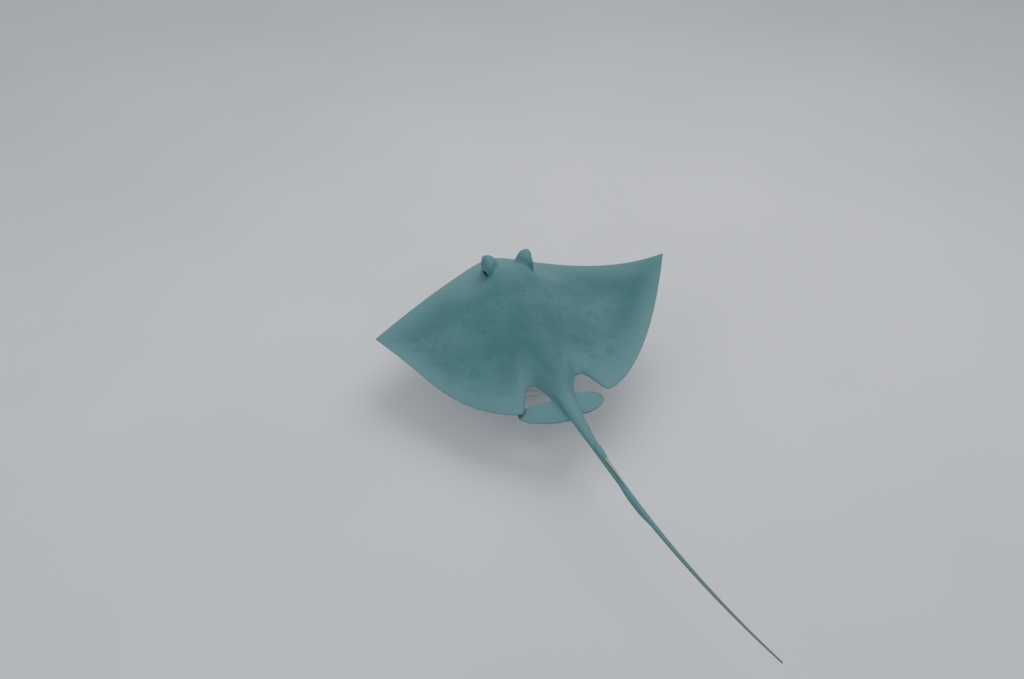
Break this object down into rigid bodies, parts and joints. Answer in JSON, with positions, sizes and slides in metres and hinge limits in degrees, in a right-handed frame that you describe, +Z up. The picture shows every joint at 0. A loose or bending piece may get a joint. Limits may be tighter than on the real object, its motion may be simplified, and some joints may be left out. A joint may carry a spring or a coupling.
{
  "type": "stingray",
  "caption": "Life-size still model of a cowtail stingray gliding level with its right wing tip raised, on a round display stand.",
  "frame": {"origin": "middle of the underside of the stand's round base", "axes": "+Y towards the ray's snout, +X towards its right wing, +Z up"},
  "size_m": [1.2, 2.0963, 0.442],
  "materials": {
    "skin": "satin",
    "eye": "gloss",
    "sting": "satin",
    "base": "satin",
    "rod": "brushed"
  },
  "bodies": {
    "root": {"head": "skin", "trunk": "skin", "pectoral_fin_left": "skin", "pectoral_fin_right": "skin", "pelvic_fin_left": "skin", "pelvic_fin_right": "skin", "tail_root": "skin", "tail_middle": "skin", "tail_whip": "skin", "tail_fold": "skin", "tail_sting": "sting", "eye_left": "eye", "eye_right": "eye", "stand_base": "base", "stand_rod_front": "rod", "stand_rod_rear": "rod"}
  },
  "joints": []
}
